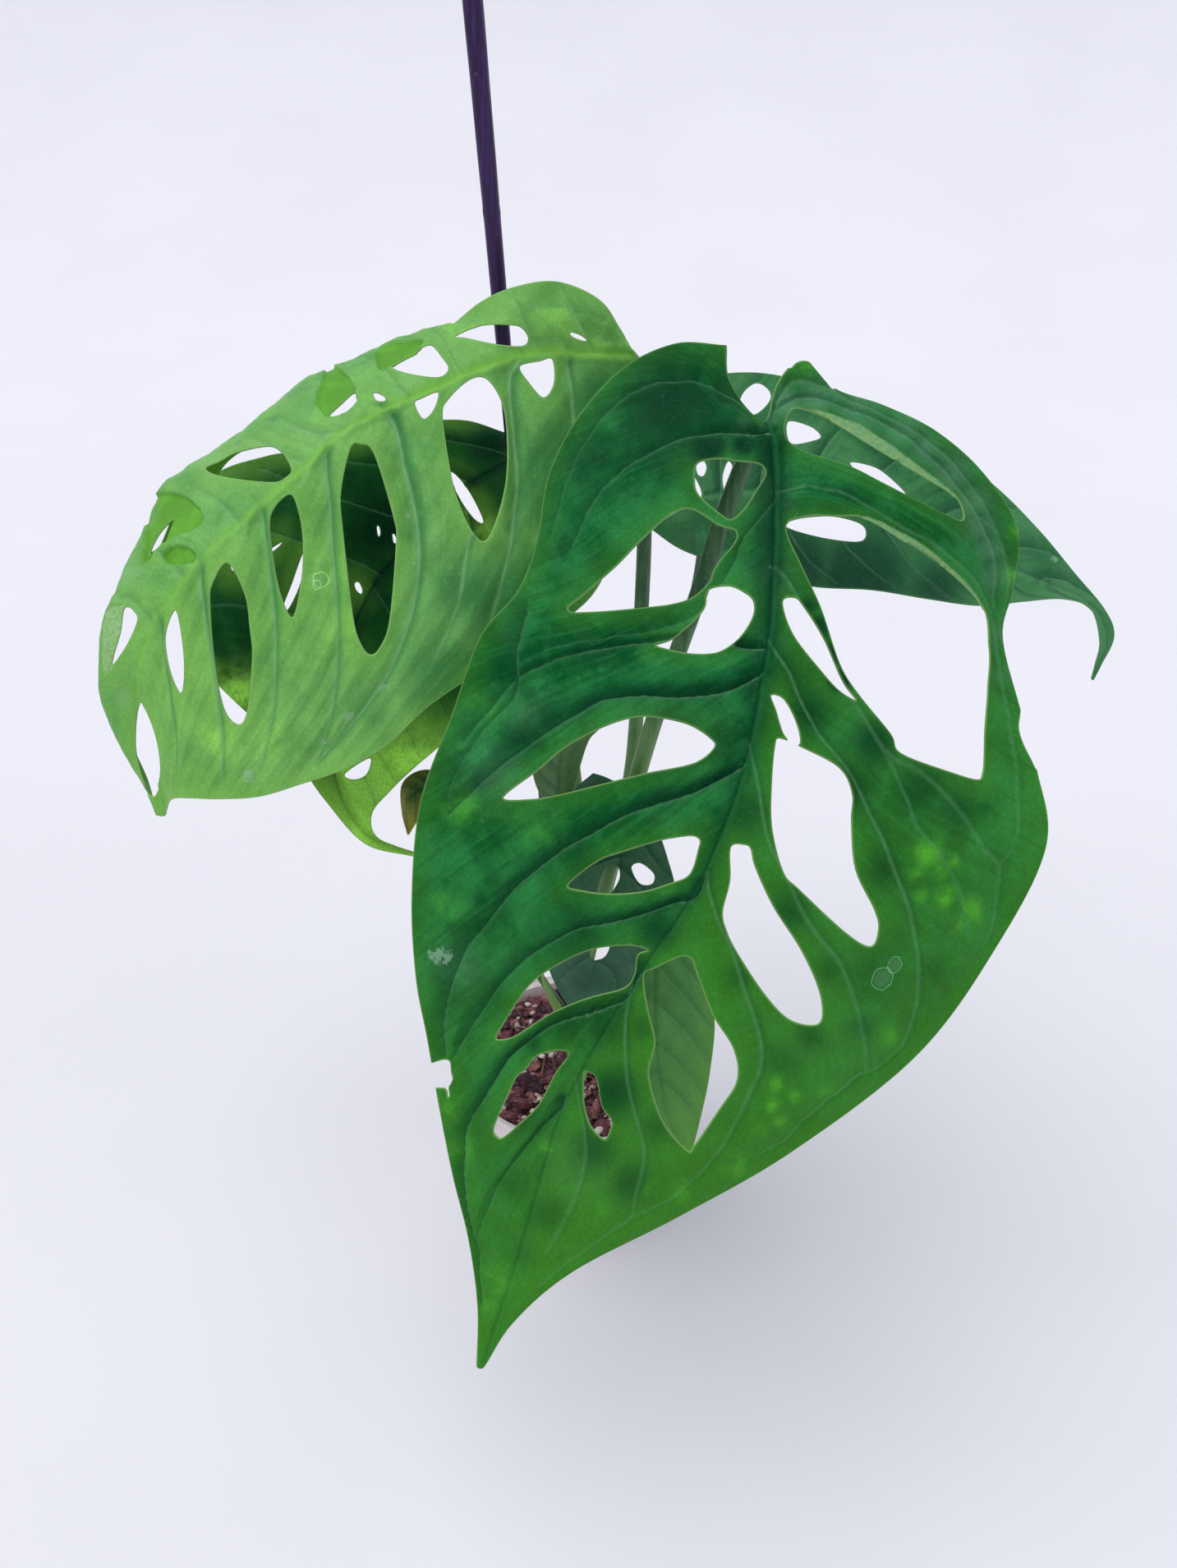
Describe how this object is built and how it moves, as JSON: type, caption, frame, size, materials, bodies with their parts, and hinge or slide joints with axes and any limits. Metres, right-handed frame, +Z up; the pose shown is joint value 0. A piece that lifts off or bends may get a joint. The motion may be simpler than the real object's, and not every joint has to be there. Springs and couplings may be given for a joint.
{
  "type": "potted monstera epipremnoides",
  "caption": "Young climbing houseplant with large leaves full of long holes, in a small round pot with a dark support cane.",
  "frame": {"origin": "middle of the pot's flat base, on the surface the pot stands on", "axes": "+Z up; -Y towards the plant's front, which the largest leaf faces; +X to the viewer's right"},
  "size_m": [0.3359, 0.2301, 0.4982],
  "materials": {
    "pot": "satin pale plastic",
    "soil": "rough damp bark chips and pumice",
    "support_cane": "satin dark stained cane",
    "stem": "smooth green stalks",
    "leaf_front": "satin deep green blade",
    "leaf_left": "satin light green blade",
    "leaf_behind": "satin dark green blade",
    "leaf_right": "satin bluish green blade",
    "leaf_low": "satin green blade",
    "leaf_small": "satin dark green blade",
    "leaf_upright": "satin olive green blade",
    "leaf_yellow_tip": "satin grey-green blade"
  },
  "bodies": {
    "root": {"pot": "pot", "soil": "soil", "support_cane": "support_cane", "stem": "stem", "leaf_front": "leaf_front", "leaf_left": "leaf_left", "leaf_behind": "leaf_behind", "leaf_right": "leaf_right", "leaf_low": "leaf_low", "leaf_small": "leaf_small", "leaf_upright": "leaf_upright", "leaf_yellow_tip": "leaf_yellow_tip"}
  },
  "joints": []
}
